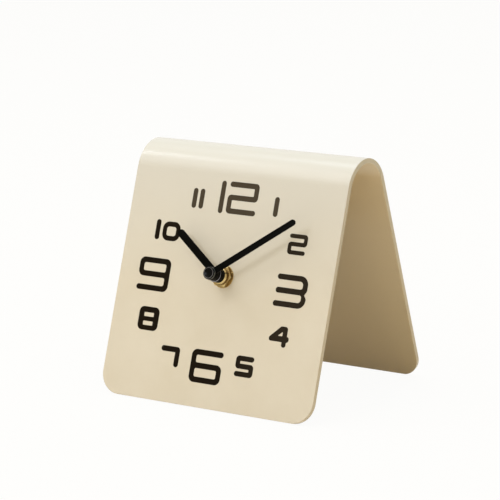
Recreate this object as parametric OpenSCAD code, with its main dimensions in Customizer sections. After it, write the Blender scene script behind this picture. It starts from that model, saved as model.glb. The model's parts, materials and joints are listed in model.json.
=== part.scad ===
// Desk clock: a sheet bent into a tent-shaped stand, with a battery clock
// movement behind the front leg and two hands on the dial.
// Millimetres, +Z up, +Y to the back. The origin is on the table, under the
// middle of the stand.

/* [Stand] */
// Width of the bent sheet
stand_w = 120; // [90:1:160]
// Straight length of each leg, from its bottom edge to the start of the bend
leg_l = 111; // [100:1:150]
// Thickness of the sheet
sheet_t = 2.5; // [1.5:0.1:3.5]
// Outer radius of the bend at the top
bend_r = 17; // [12:0.5:24]
// Lean of each leg from upright, in degrees
lean = 19; // [15:0.5:24]
// Radius of the four bottom corners
corner_r = 10.5; // [6:0.5:16]
// Width of the level strip that each leg rests on
rest_w = 1; // [0.5:0.1:2]
// Height of the dial centre, up the front leg from its bottom edge
dial_v = 63; // [55:0.5:75]

/* [Hands] */
// Reach of the minute hand from the centre to its tip
minute_reach = 50.5; // [35:0.5:58]
// Reach of the hour hand from the centre to its tip
hour_reach = 31.2; // [20:0.5:45]
// Width of the minute hand
minute_w = 3.1; // [1.5:0.1:5]
// Width of the hour hand
hour_w = 3.7; // [1.5:0.1:6]
// Clock angle of the minute hand, in degrees past twelve
minute_angle = 54.8; // [0:0.1:360]
// Clock angle of the hour hand, in degrees past twelve
hour_angle = 306.5; // [0:0.1:360]

/* [Fixing] */
// Diameter of the threaded bush that holds the movement to the sheet
bush_d = 7.9; // [7.4:0.1:9.6]
// Width across the flats of the fixing nut, over the bush
nut_over_bush = 1.7; // [1.4:0.1:4]
// Width of the washer beyond the bush
washer_over_bush = 3.3; // [2.6:0.1:6]

/* [Movement] */
// Diameter of the battery cell
cell_d = 14.2; // [10:0.1:18]
// Length of the battery cell over its button
cell_l = 50.5; // [40:0.5:64]
// Thickness of the case's walls
case_wall = 1.2; // [0.8:0.1:1.6]
// Thickness of every wheel disc
wheel_t = 0.9; // [0.7:0.05:1.1]
// Tooth module of the centre wheel
centre_module = 0.3; // [0.28:0.01:0.36]

/* [Hidden] */

$fn = 96;
// overrun of every cut
over = 0.5;
over_angle = 2;
// radial running clearance of a shaft in its hole
run_gap = 0.05;
// clearance between pieces that only pass each other
pass_gap = 0.3;

// stand
rest_drop = rest_w * sin(lean) * cos(lean);
foot_y = bend_r * cos(lean) + leg_l * sin(lean);
foot_z = sheet_t * sin(lean) - rest_drop;

// shafts that run in one another on the dial axis, from the inside out
seconds_r = 0.55;
minute_bore_r = seconds_r + run_gap;
minute_r = 1.6;
hour_bore_r = minute_r + run_gap;
bush_r = bush_d / 2;
bush_wall = 1.35;
bush_bore_r = bush_r - bush_wall;
hour_pipe_r = bush_bore_r - run_gap;

// stack on the dial, heights from the outer face of the sheet
washer_r = (bush_d + washer_over_bush) / 2;
washer_t = 0.5;
nut_af = bush_d + nut_over_bush;
nut_t = 2.3;
nut_chamfer = 0.5;
bush_proud = 1.8;
bush_end = washer_t + nut_t + bush_proud;
bush_chamfer = 0.3;
bush_gap = 0.4;
hub_wall = 1.05;
hub_edge = 0.3;
blade_t = 0.8;
hour_hub_r = hour_pipe_r + hub_wall;
hour_hub_l = 3;
hour_hub_z = bush_end + bush_gap;
hour_hub_end = hour_hub_z + hour_hub_l;
hour_blade_rise = 1;
hour_blade_z = hour_hub_z + hour_blade_rise;
hour_tip_share = 1;
minute_hub_r = 3.2;
minute_hub_l = 3.6;
minute_hub_z = hour_hub_end + pass_gap;
minute_hub_end = minute_hub_z + minute_hub_l;
minute_blade_drop = 0.1;
minute_blade_z = minute_hub_end - minute_blade_drop - blade_t;
minute_tip_share = 0.92;
cap_r = 3.05;
cap_t = 1.5;
cap_edge = 0.35;
cap_dish_r = 1.95;
cap_dish = 0.35;
cap_bore_l = 0.8;

// hole in the sheet, rubber gasket and the flange of the bush
hole_gap = 0.2;
gasket_over_bush = 12;
gasket_t = 1;
flange_w = 2;
flange_t = 0.8;

// levels of the gear train inside the case, as depths from the case's front face
case_z = -(sheet_t + gasket_t);
level_gap = 0.5;
first_level = case_wall + flange_t + pass_gap;
function level(n) = first_level + n * (wheel_t + level_gap);
bridge_depth = level(6);
bridge_t = 1;
bridge_back = bridge_depth + bridge_t;
pinion_lead = 0.15;

// tooth form: pressure angle, and shares of the module or of the pitch
pressure = 20;
addendum_share = 0.8;
dedendum_share = 1.12;
lash_share = 0.12;

// tooth counts
hour_teeth = 40;
motion_pinion_teeth = 10;
motion_teeth = 36;
cannon_teeth = 12;
knob_teeth = 14;
centre_teeth = 64;
third_pinion_teeth = 8;
third_teeth = 60;
seconds_pinion_teeth = 8;
seconds_teeth = 40;
inter_pinion_teeth = 8;
inter_teeth = 48;
rotor_teeth = 8;

// the going train: the third and intermediate arbors stand equally far from the dial axis
third_d = centre_module * (centre_teeth + third_pinion_teeth) / 2;
third_module = 2 * third_d / (third_teeth + seconds_pinion_teeth);
seconds_module = 2 * third_d / (seconds_teeth + inter_pinion_teeth);
rotor_module = 0.25;
rotor_d = rotor_module * (inter_teeth + rotor_teeth) / 2;

// the motion work: two meshes with the dial axis share one distance
motion_d = 8;
hour_module = 2 * motion_d / (hour_teeth + motion_pinion_teeth);
cannon_module = 2 * motion_d / (motion_teeth + cannon_teeth);
knob_d = cannon_module * (motion_teeth + knob_teeth) / 2;

// directions of the arbors from the dial axis, anticlockwise from the right, in degrees
motion_dir = -15;
third_dir = 150;
inter_dir = 60;

function polar(r, a) = [r * cos(a), r * sin(a)];
motion_at = polar(motion_d, motion_dir);
knob_at = polar(motion_d + knob_d, motion_dir);
third_at = polar(third_d, third_dir);
inter_at = polar(third_d, inter_dir);
rotor_at = polar(third_d + rotor_d, inter_dir);

// web of the wheels: how far it is sunk in the rim, and where it starts and ends
web_sink = 0.2;
web_rim_share = 0.86;
web_hub_w = 0.8;
web_hub_r = hour_pipe_r + web_hub_w;

// shoulder and collar that hold the centre wheel on the minute arbor
collar_r = 2.2;
collar_t = 0.2;

// size of the case, from the battery bay and the works above it
bay_gap = 0.4;
partition_t = 0.8;
works_gap = 0.9;
cell_r = cell_d / 2;
contact_t = 0.3;
contact_gap = 0.3;
bow_l = 2;
works_bottom = -(centre_module * (centre_teeth / 2 + addendum_share) + works_gap);
bay_top = works_bottom - partition_t;
bay_half = (cell_l + bow_l) / 2 + contact_t + contact_gap;
inner_half = max(cell_d + 2 * bay_gap - bay_top, bay_half);
case_half = inner_half + case_wall;
case_corner_r = 3;
cover_t = 1.2;

// bosses, posts and screws
boss_wall = 0.75;
boss_end = level(2) - level_gap;
pivot_r = 0.5;
pivot_l = 1.3;
rotor_pivot_r = 0.4;
motion_peg_r = 0.75;
motion_seat_r = 1.2;
post_r = 1.8;
post_gap = 2.4;
post_top_gap = 1.5;
screw_r = 0.65;
screw_l = 5;
screw_head_r = 1.6;
screw_head_t = 0.8;
screw_slot_w = 0.4;
screw_slot_share = 0.45;
post_x = bay_half - post_r - post_gap;
post_low = works_bottom + post_r + post_gap;
post_high = inner_half - post_r - post_top_gap;
post_at = [for (x = [-post_x, post_x], y = [post_low, post_high]) [x, y]];

// setting knob
knob_shaft_r = 1.5;
knob_r = 5.5;
knob_t = 1.8;
knob_edge = 0.3;
knob_flutes = 24;
knob_flute_r = 0.4;
knob_pivot_r = 0.6;

// circuit board with its chip and crystal, on the back of the bridge
board_t = 1;
board_edge = 1.4;
board_back = bridge_back + board_t;
board_left = rotor_at[0] + board_edge;
board_right = bay_half - board_edge;
board_low = knob_at[1] + knob_shaft_r + 2 * board_edge;
board_top = post_high - screw_head_r - pass_gap;
chip_r = 2.2;
chip_t = 0.8;
chip_shares = [0.35, 0.4];
crystal_r = 0.75;
crystal_l = 5;
crystal_shares = [0.72, 0.48];
crystal_lead_r = 0.15;
crystal_lead_l = 1.2;

// depth of the case, from the cell or from what stands on the board
case_t = max(case_wall + bay_gap + cell_d,
             board_back + 2 * crystal_r + pass_gap + cover_t);

// motor: rotor, stator, core and coil
plate_t = 1;
stator_depth = level(2) + level_gap;
core_depth = stator_depth + plate_t;
magnet_r = 2.5;
magnet_l = 2.4;
magnet_bore_r = 1;
magnet_depth = stator_depth + (plate_t - magnet_l) / 2;
magnet_flange_r = 1.6;
magnet_flange_t = 0.3;
rotor_shaft_r = 0.65;
air_gap = 0.5;
pole_w = 1.5;
pole_notch_r = 0.4;
stator_bar_w = 2.6;
stator_leg_w = 3;
stator_bar_rise = 1.9;
stator_bar_at = rotor_at[1] + stator_bar_rise;
pad_r = 2;
peg_r = 0.8;
peg_post_r = 1.5;
peg_proud = 0.5;
core_w = 2.4;
bobbin_wall = 0.4;
bobbin_r = norm([core_w, plate_t]) / 2 + bobbin_wall;
flange_r = 3.2;
bobbin_flange_t = 0.7;
coil_r = 2.9;
coil_crown = 0.15;
coil_crown_share = 0.25;
coil_gap = 0.7;
coil_top_gap = 1;
coil_at = inner_half - flange_r - coil_top_gap;
coil_peg_left = -(post_x - post_r - coil_gap - pad_r);
coil_peg_right = rotor_at[0];
bobbin_left = coil_peg_left + pad_r + coil_gap;
bobbin_right = coil_peg_right - pad_r - coil_gap;
bobbin_l = bobbin_right - bobbin_left;

// battery cell, contacts and the strips that lead to the board
button_r = 2.75;
button_l = 1.3;
cell_edge = 0.5;
cell_right = bay_half - contact_t - contact_gap;
cell_left = cell_right - cell_l;
cell_at = (bay_top - inner_half) / 2;
cell_depth = case_wall + bay_gap + cell_r;
plate_w = 6;
plate_h = 9;
lead_w = 2;
lead_back = board_back + contact_t;
bow_chord = 7;
bow_sag = cell_left - contact_gap + bay_half - contact_t / 2;
bow_r = (bow_chord * bow_chord / 4 + bow_sag * bow_sag) / (2 * bow_sag);
foot_l = 3;
notch_w = 0.8;

// ribs that cradle the cell, and the notch that lets a finger under it
rib_t = 1;
rib_rise = 2.4;
rib_place_share = 0.5;
cradle_gap = 0.15;
finger_r = 7;

// snap tongues of the back cover
tongue_w = 6;
tongue_t = 0.8;
tongue_l = 2.2;
top_tongue_share = 0.5;
side_tongue_share = 1 / 3;

cream = [0.88, 0.84, 0.74];
black = [0.09, 0.09, 0.09];
brass = [0.72, 0.56, 0.28];
case_black = [0.15, 0.15, 0.16];
white = [0.93, 0.92, 0.88];
steel = [0.68, 0.69, 0.71];
copper = [0.72, 0.38, 0.2];
green = [0.16, 0.38, 0.2];

// Frames: X across the dial, Y up the front leg, Z out of the dial

module leg_frame() {
    translate([0, -foot_y, foot_z]) rotate([90 - lean, 0, 0]) children();
}

// Height counts from the outer face of the sheet, on the dial axis
module on_dial(height) {
    leg_frame() translate([0, dial_v, height]) children();
}

// Depth counts from the case's front face towards the back
module at_depth(depth, at = [0, 0]) {
    on_dial(case_z - depth) translate([at[0], at[1], 0]) children();
}

// Length of a piece that runs from a depth in the case to a height on the dial
function run(depth, height) = height - case_z + depth;

// Shared shapes

module rounded_rect(w, h, r) {
    square([w - 2 * r, h], center = true);
    square([w, h - 2 * r], center = true);
    for (x = [-1, 1], y = [-1, 1]) translate([x * (w / 2 - r), y * (h / 2 - r)]) circle(r);
}

// A bar of width w with round ends, from point a to point b
module link(a, b, w) {
    translate(a) rotate(atan2(b[1] - a[1], b[0] - a[0])) {
        translate([0, -w / 2]) square([norm(b - a), w]);
        circle(w / 2);
        translate([norm(b - a), 0]) circle(w / 2);
    }
}

module bore(r, l) {
    translate([0, 0, -over]) cylinder(r = r, h = l + 2 * over);
}

module tube(outer_r, inner_r, l) {
    difference() {
        cylinder(r = outer_r, h = l);
        bore(inner_r, l);
    }
}

// A turned disc whose far edge is rounded
module rounded_disc(r, l, edge) {
    rotate_extrude() {
        square([r - edge, l]);
        square([r, l - edge]);
        translate([r - edge, l - edge]) intersection() {
            circle(edge);
            square(edge);
        }
    }
}

// Radius of the ball whose cap has base radius r and height h
function ball_r(r, h) = (r * r + h * h) / (2 * h);

// Involute teeth: m is the module, and angles are in degrees

function involute(a) = tan(a) * 180 / PI - a;
function root_r(teeth, m) = m * (teeth / 2 - dedendum_share);
function base_r(teeth, m) = m * teeth / 2 * cos(pressure);
function tip_r(teeth, m) = m * (teeth / 2 + addendum_share);

// half the angle that a tooth fills at radius r
function half_tooth(teeth, m, r) =
    90 / teeth * (1 - lash_share) + involute(pressure)
    - (r > base_r(teeth, m) ? involute(acos(base_r(teeth, m) / r)) : 0);

// radii of the three points on a flank: root, knee and tip
function flank_radii(teeth, m) =
    [root_r(teeth, m),
     max(base_r(teeth, m), (root_r(teeth, m) + tip_r(teeth, m)) / 2),
     tip_r(teeth, m)];

function tooth(teeth, m, at, radii) = [
    for (i = [0, 1, 2]) polar(radii[i], at - half_tooth(teeth, m, radii[i])),
    for (i = [2, 1, 0]) polar(radii[i], at + half_tooth(teeth, m, radii[i]))
];

// A pinion has a tooth centred on the direction aim
module pinion(teeth, m, l, aim) {
    rotate(aim) linear_extrude(l) polygon([
        for (k = [0 : teeth - 1]) each tooth(teeth, m, 360 * k / teeth, flank_radii(teeth, m))
    ]);
}

// A wheel has a gap centred on aim, and a sunk web on its back face
module wheel(teeth, m, aim) {
    difference() {
        pinion(teeth, m, wheel_t, aim + 180 / teeth);
        translate([0, 0, -over])
            tube(root_r(teeth, m) * web_rim_share, web_hub_r, web_sink + over);
    }
}

// Stand

module leg() {
    translate([0, 0, -sheet_t]) linear_extrude(sheet_t) {
        translate([-stand_w / 2, corner_r]) square([stand_w, leg_l - corner_r]);
        translate([corner_r - stand_w / 2, 0]) square([stand_w - 2 * corner_r, leg_l]);
        for (x = [-1, 1]) translate([x * (stand_w / 2 - corner_r), corner_r]) circle(corner_r);
    }
}

// The front leg and its half of the bend, up to the middle plane of the stand
module half_sheet() {
    sweep = 90 - lean + over_angle;
    difference() {
        leg_frame() {
            leg();
            translate([0, leg_l, -bend_r]) rotate([0, 90, 0])
                rotate_extrude(start = 180 - sweep, angle = sweep)
                    translate([bend_r - sheet_t, -stand_w / 2]) square([sheet_t, stand_w]);
        }
        translate([-stand_w, 0, 0]) cube([2 * stand_w, foot_y, 2 * leg_l]);
    }
}

module stand_panel() {
    color(cream) difference() {
        union() {
            half_sheet();
            mirror([0, 1, 0]) half_sheet();
        }
        // the floor trims both bottom edges to a level strip
        translate([-stand_w, -2 * foot_y, -leg_l]) cube([2 * stand_w, 4 * foot_y, leg_l]);
        on_dial(-sheet_t) bore(bush_r + hole_gap, sheet_t);
    }
}

// Fixing of the movement to the sheet

module panel_gasket() {
    color(black) on_dial(case_z) tube((bush_d + gasket_over_bush) / 2, bush_r + run_gap, gasket_t);
}

module face_washer() {
    color(brass) on_dial(0) tube(washer_r, bush_r + run_gap, washer_t);
}

module fixing_nut() {
    flat_r = nut_af / 2;
    corner = flat_r / cos(30);
    color(brass) on_dial(washer_t) difference() {
        intersection() {
            cylinder(r = corner, h = nut_t, $fn = 6);
            rotate_extrude() polygon([[0, 0], [flat_r, 0], [corner, nut_chamfer],
                                      [corner, nut_t - nut_chamfer], [flat_r, nut_t], [0, nut_t]]);
        }
        bore(bush_r + run_gap, nut_t);
    }
}

module threaded_bush() {
    back = case_wall + flange_t;
    l = run(back, bush_end);
    color(brass) at_depth(back) difference() {
        union() {
            cylinder(r = bush_r + flange_w, h = flange_t);
            cylinder(r = bush_r, h = l - bush_chamfer);
            translate([0, 0, l - bush_chamfer])
                cylinder(r1 = bush_r, r2 = bush_r - bush_chamfer, h = bush_chamfer);
        }
        bore(bush_bore_r, l);
    }
}

// Movement case

module case_outline() {
    rounded_rect(2 * case_half, 2 * case_half, case_corner_r);
}

// A post on the inside of the case's front wall that ends at a depth
module post(at, r, end) {
    translate([at[0], at[1], -end]) cylinder(r = r, h = end - case_wall);
}

// The same with a blind hole for a pivot
module boss(at, end, r) {
    difference() {
        post(at, r + run_gap + boss_wall, end);
        translate([at[0], at[1], -end - over]) cylinder(r = r + run_gap, h = pivot_l + pass_gap + over);
    }
}

module case_shell() {
    difference() {
        translate([0, 0, -case_t]) linear_extrude(case_t) case_outline();
        // the works and the battery bay, with the partition left between them
        translate([-inner_half, works_bottom, -case_t - over])
            cube([2 * inner_half, inner_half - works_bottom, case_t - case_wall + over]);
        translate([-bay_half, -inner_half, -case_t - over])
            cube([2 * bay_half, inner_half + bay_top, case_t - case_wall + over]);
        // the seat of the back cover
        translate([-case_half - over, bay_top, -case_t - over])
            cube([2 * (case_half + over), 2 * case_half, cover_t + over]);
        translate([0, 0, -case_wall]) bore(bush_r + run_gap, case_wall);
        // the ways of the two contact strips through the partition
        for (x = [-bay_half, bay_half - notch_w])
            translate([x, bay_top - over, -case_t])
                cube([notch_w, partition_t + 2 * over, case_t - lead_back + lead_w + pass_gap]);
        // the finger notch in the rim of the bottom wall
        translate([0, over - inner_half, -case_t]) rotate([90, 0, 0])
            cylinder(r = finger_r, h = case_wall + 2 * over);
    }
}

// A rib across the floor of the bay, hollowed to the round of the cell
module cradle_rib(x) {
    difference() {
        translate([x - rib_t / 2, -inner_half, -case_wall - rib_rise])
            cube([rib_t, inner_half + bay_top, rib_rise]);
        translate([x - rib_t / 2 - over, cell_at, -cell_depth]) rotate([0, 90, 0])
            cylinder(r = cell_r + cradle_gap, h = rib_t + 2 * over);
    }
}

module case_front() {
    color(case_black) at_depth(0) {
        case_shell();
        for (x = [-1, 1]) cradle_rib(x * bay_half * rib_place_share);
        boss(third_at, boss_end, pivot_r);
        boss(inter_at, boss_end, pivot_r);
        boss(rotor_at, magnet_depth - pass_gap, rotor_pivot_r);
        boss(knob_at, level(1) - pass_gap, knob_pivot_r);
        post(motion_at, motion_seat_r, first_level - pinion_lead - run_gap);
        post(motion_at, motion_peg_r, level(2) - pass_gap);
        for (at = post_at) difference() {
            post(at, post_r, bridge_depth);
            translate([at[0], at[1], -bridge_depth - over]) cylinder(r = screw_r, h = screw_l + over);
        }
        for (x = [coil_peg_left, coil_peg_right]) {
            post([x, coil_at], peg_post_r, stator_depth);
            post([x, coil_at], peg_r, core_depth + plate_t + peg_proud);
        }
    }
}

module case_back() {
    color(case_black) at_depth(case_t) difference() {
        union() {
            linear_extrude(cover_t) intersection() {
                case_outline();
                translate([-case_half, bay_top]) square(2 * case_half);
            }
            // tongues that snap inside the walls
            for (x = [-1, 1]) translate([x * case_half * top_tongue_share - tongue_w / 2,
                                         inner_half - run_gap - tongue_t, 0])
                cube([tongue_w, tongue_t, cover_t + tongue_l]);
            for (x = [run_gap - inner_half, inner_half - run_gap - tongue_t])
                translate([x, case_half * side_tongue_share, 0])
                    cube([tongue_t, tongue_w, cover_t + tongue_l]);
        }
        translate([knob_at[0], knob_at[1], 0]) bore(knob_shaft_r + pass_gap, cover_t);
    }
}

module gear_bridge() {
    side = bay_half - contact_t - 2 * pass_gap;
    low = works_bottom + contact_t + pass_gap;
    high = inner_half - pass_gap;
    color(case_black) at_depth(bridge_back) linear_extrude(bridge_t) difference() {
        translate([0, (low + high) / 2]) rounded_rect(2 * side, high - low, post_r);
        circle(seconds_r + run_gap);
        translate(third_at) circle(pivot_r + run_gap);
        translate(inter_at) circle(pivot_r + run_gap);
        translate(rotor_at) circle(rotor_pivot_r + run_gap);
        translate(knob_at) circle(knob_shaft_r + run_gap);
        for (at = post_at) translate(at) circle(screw_r);
    }
}

module bridge_screws() {
    color(steel) for (at = post_at) at_depth(bridge_back + screw_head_t, at) difference() {
        union() {
            cylinder(r = screw_head_r, h = screw_head_t);
            cylinder(r = screw_r, h = screw_head_t + bridge_t + screw_l - pass_gap);
        }
        translate([-screw_head_r, -screw_slot_w / 2, -over])
            cube([2 * screw_head_r, screw_slot_w, screw_head_t * screw_slot_share + over]);
    }
}

// Motion work, which turns the hands

module hour_wheel() {
    back = first_level + wheel_t;
    l = run(back, hour_hub_end - hub_edge);
    color(white) at_depth(back) difference() {
        union() {
            wheel(hour_teeth, hour_module, motion_dir);
            cylinder(r = hour_pipe_r, h = l);
        }
        bore(hour_bore_r, l);
    }
}

module minute_arbor() {
    back = level(2) + wheel_t + run_gap + collar_t;
    l = run(back, minute_hub_end + cap_bore_l);
    shoulder = level(2) - run_gap;
    cannon_back = level(1) + wheel_t + pinion_lead;
    color(white) difference() {
        union() {
            at_depth(back) cylinder(r = minute_r, h = l);
            // the collar behind the centre wheel and the shoulder in front of it
            at_depth(back) cylinder(r = collar_r, h = collar_t);
            at_depth(shoulder) cylinder(r = collar_r, h = shoulder - cannon_back);
            at_depth(cannon_back)
                pinion(cannon_teeth, cannon_module, wheel_t + 2 * pinion_lead, motion_dir);
        }
        at_depth(back) bore(minute_bore_r, l);
    }
}

module motion_wheel() {
    l = level(1) + wheel_t - first_level + pinion_lead;
    color(white) at_depth(level(1) + wheel_t, motion_at) difference() {
        union() {
            wheel(motion_teeth, cannon_module, motion_dir + 180);
            pinion(motion_pinion_teeth, hour_module, l, motion_dir + 180);
        }
        bore(motion_peg_r + run_gap, l);
    }
}

module setting_knob() {
    back = case_t + pass_gap + knob_t;
    pinion_back = level(1) + wheel_t + pinion_lead;
    pivot_end = level(1) - pass_gap - pivot_l;
    color(case_black) {
        at_depth(back, knob_at) difference() {
            translate([0, 0, knob_t]) mirror([0, 0, 1]) rounded_disc(knob_r, knob_t, knob_edge);
            for (k = [1 : knob_flutes]) rotate(360 * k / knob_flutes)
                translate([knob_r, 0, 0]) bore(knob_flute_r, knob_t);
        }
        at_depth(case_t + pass_gap, knob_at)
            cylinder(r = knob_shaft_r, h = case_t + pass_gap - pinion_back);
        at_depth(pinion_back, knob_at)
            pinion(knob_teeth, cannon_module, wheel_t + 2 * pinion_lead, motion_dir + 180);
        at_depth(pinion_back, knob_at) cylinder(r = knob_pivot_r, h = pinion_back - pivot_end);
    }
}

// Going train, from the centre wheel to the rotor

module centre_wheel() {
    color(white) at_depth(level(2) + wheel_t) difference() {
        wheel(centre_teeth, centre_module, third_dir);
        bore(minute_r + run_gap, wheel_t);
    }
}

// A wheel with its pinion one level in front of it, moulded in one piece
module wheel_and_pinion(teeth, m, aim, pinion_teeth, pinion_m, pinion_aim) {
    wheel(teeth, m, aim);
    pinion(pinion_teeth, pinion_m, 2 * wheel_t + level_gap + pinion_lead, pinion_aim);
}

// The spindle of such a piece runs from the bridge to its boss in the case
module spindle(at) {
    at_depth(bridge_back, at) cylinder(r = pivot_r, h = bridge_back - boss_end + pivot_l);
}

module third_wheel() {
    color(white) {
        at_depth(level(3) + wheel_t, third_at)
            wheel_and_pinion(third_teeth, third_module, third_dir + 180,
                             third_pinion_teeth, centre_module, third_dir + 180);
        spindle(third_at);
    }
}

module seconds_wheel() {
    color(white) at_depth(level(4) + wheel_t) difference() {
        wheel_and_pinion(seconds_teeth, seconds_module, inter_dir,
                         seconds_pinion_teeth, third_module, third_dir);
        bore(seconds_r, 2 * wheel_t + level_gap + pinion_lead);
    }
}

module seconds_arbor() {
    color(steel) at_depth(bridge_back)
        cylinder(r = seconds_r, h = run(bridge_back, minute_hub_z + minute_hub_l / 2));
}

module intermediate_wheel() {
    color(white) {
        at_depth(level(5) + wheel_t, inter_at)
            wheel_and_pinion(inter_teeth, rotor_module, inter_dir,
                             inter_pinion_teeth, seconds_module, inter_dir + 180);
        spindle(inter_at);
    }
}

// Motor

module rotor_pinion() {
    magnet_back = magnet_depth + magnet_l;
    pinion_back = level(5) + wheel_t + pinion_lead;
    pivot_end = magnet_depth - pass_gap - pivot_l;
    color(white) {
        at_depth(bridge_back, rotor_at) cylinder(r = rotor_pivot_r, h = bridge_back - pivot_end);
        at_depth(pinion_back, rotor_at)
            pinion(rotor_teeth, rotor_module, wheel_t + 2 * pinion_lead, inter_dir + 180);
        at_depth(level(5), rotor_at) cylinder(r = rotor_shaft_r, h = level(5) - magnet_back);
        at_depth(magnet_back + magnet_flange_t, rotor_at)
            cylinder(r = magnet_flange_r, h = magnet_flange_t);
        at_depth(magnet_back, rotor_at) cylinder(r = magnet_bore_r, h = magnet_l);
    }
}

module rotor_magnet() {
    color(steel) at_depth(magnet_depth + magnet_l, rotor_at) tube(magnet_r, magnet_bore_r, magnet_l);
}

// A plate with a hole round the rotor and a leg to each end of the core
module stator() {
    pole_r = magnet_r + air_gap;
    color(steel) at_depth(stator_depth + plate_t) linear_extrude(plate_t) difference() {
        union() {
            translate(rotor_at) circle(pole_r + pole_w);
            link([coil_peg_left, stator_bar_at], [rotor_at[0], stator_bar_at], stator_bar_w);
            link([coil_peg_left, stator_bar_at], [coil_peg_left, coil_at], stator_leg_w);
            link(rotor_at, [coil_peg_right, coil_at], stator_leg_w);
        }
        translate(rotor_at) circle(pole_r);
        // two notches set where the rotor comes to rest
        for (a = [0, 180]) translate(rotor_at + polar(pole_r, inter_dir + a)) circle(pole_notch_r);
        for (x = [coil_peg_left, coil_peg_right]) translate([x, coil_at]) circle(peg_r);
    }
}

module coil_core() {
    color(steel) at_depth(core_depth + plate_t) linear_extrude(plate_t) difference() {
        union() {
            link([coil_peg_left, coil_at], [coil_peg_right, coil_at], core_w);
            for (x = [coil_peg_left, coil_peg_right]) translate([x, coil_at]) circle(pad_r);
        }
        for (x = [coil_peg_left, coil_peg_right]) translate([x, coil_at]) circle(peg_r);
    }
}

// Along the coil's axis, from a place on it
module along_coil(x) {
    at_depth(core_depth + plate_t / 2, [x, coil_at]) rotate([0, 90, 0]) children();
}

module coil_bobbin() {
    color(white) along_coil(bobbin_left) difference() {
        union() {
            cylinder(r = bobbin_r, h = bobbin_l);
            for (z = [0, bobbin_l - bobbin_flange_t]) translate([0, 0, z])
                cylinder(r = flange_r, h = bobbin_flange_t);
        }
        translate([-plate_t / 2, -core_w / 2, -over]) cube([plate_t, core_w, bobbin_l + 2 * over]);
    }
}

module coil_winding() {
    l = bobbin_l - 2 * bobbin_flange_t;
    color(copper) along_coil(bobbin_left + bobbin_flange_t) rotate_extrude() polygon([
        [bobbin_r, 0], [coil_r - coil_crown, 0], [coil_r, l * coil_crown_share],
        [coil_r, l * (1 - coil_crown_share)], [coil_r - coil_crown, l], [bobbin_r, l]
    ]);
}

// Electronics

module circuit_board() {
    color(green) at_depth(board_back, [board_left, board_low])
        cube([board_right - board_left, board_top - board_low, board_t]);
}

// A place on the board, from shares of its width and height
function on_board(shares) = [
    board_left + shares[0] * (board_right - board_left),
    board_low + shares[1] * (board_top - board_low)
];

module control_chip() {
    dome_r = ball_r(chip_r, chip_t);
    color(black) at_depth(board_back, on_board(chip_shares)) intersection() {
        translate([0, 0, dome_r - chip_t]) sphere(dome_r);
        translate([0, 0, -chip_t]) cylinder(r = dome_r, h = chip_t);
    }
}

module quartz_crystal() {
    color(steel) at_depth(board_back + crystal_r, on_board(crystal_shares)) {
        rotate([-90, 0, 0]) cylinder(r = crystal_r, h = crystal_l);
        for (x = [-1, 1]) translate([x * crystal_r / 2, 0, 0]) {
            rotate([90, 0, 0]) cylinder(r = crystal_lead_r, h = crystal_lead_l);
            translate([0, -crystal_lead_l, -crystal_lead_r])
                cylinder(r = crystal_lead_r, h = crystal_r + crystal_lead_r);
        }
    }
}

// Contacts and battery

// A contact plate on an end wall of the bay, and the strip that leaves it past the partition
module contact_plate(x, lead_top) {
    at_depth(lead_back) {
        translate([x, cell_at - plate_h / 2])
            cube([contact_t, plate_h, lead_back - cell_depth + plate_w / 2]);
        translate([x, cell_at]) cube([contact_t, lead_top - cell_at, lead_w]);
    }
}

module contact_plus() {
    foot_top = board_low + foot_l;
    color(steel) {
        contact_plate(bay_half - contact_t, foot_top);
        at_depth(lead_back, [board_right - foot_l, foot_top - lead_w])
            cube([foot_l + board_edge, lead_w, contact_t]);
    }
}

module contact_minus() {
    strip_end = board_left + foot_l;
    half_angle = asin(bow_chord / 2 / bow_r);
    color(steel) {
        contact_plate(-bay_half, works_bottom + contact_t);
        // the strip along the partition and its foot on the board
        at_depth(lead_back, [-bay_half, works_bottom])
            cube([strip_end + bay_half, contact_t, lead_w]);
        at_depth(lead_back, [strip_end - lead_w, works_bottom])
            cube([lead_w, board_low + foot_l - works_bottom, contact_t]);
        // the sprung bow that presses on the cell
        at_depth(cell_depth + plate_w / 2, [cell_left - contact_gap - bow_r, cell_at])
            rotate_extrude(start = -half_angle, angle = 2 * half_angle)
                translate([bow_r - contact_t, 0]) square([contact_t, plate_w]);
    }
}

module battery_cell() {
    body_l = cell_l - button_l;
    color(copper) at_depth(cell_depth, [cell_left, cell_at]) rotate([0, 90, 0]) {
        translate([0, 0, cell_edge]) rounded_disc(cell_r, body_l - cell_edge, cell_edge);
        translate([0, 0, 2 * cell_edge]) mirror([0, 0, 1])
            rounded_disc(cell_r, 2 * cell_edge, cell_edge);
        cylinder(r = button_r, h = cell_l);
    }
}

// Hands

// A flat bar from the centre with a round tip, pointing to a clock angle
module blade(reach, w, tip_share, angle) {
    tip = w * tip_share / 2;
    rotate(-angle) linear_extrude(blade_t) {
        polygon([[-w / 2, 0], [w / 2, 0], [tip, reach - tip], [-tip, reach - tip]]);
        translate([0, reach - tip]) circle(tip);
    }
}

module hour_hand() {
    color(black) difference() {
        union() {
            on_dial(hour_hub_z) rounded_disc(hour_hub_r, hour_hub_l, hub_edge);
            on_dial(hour_blade_z) blade(hour_reach, hour_w, hour_tip_share, hour_angle);
        }
        on_dial(hour_hub_z) bore(hour_pipe_r, hour_hub_l);
    }
}

module minute_hand() {
    color(black) difference() {
        union() {
            on_dial(minute_hub_z) rounded_disc(minute_hub_r, minute_hub_l, hub_edge);
            on_dial(minute_blade_z) blade(minute_reach, minute_w, minute_tip_share, minute_angle);
        }
        on_dial(minute_hub_z) bore(minute_r, minute_hub_l);
    }
}

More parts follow.
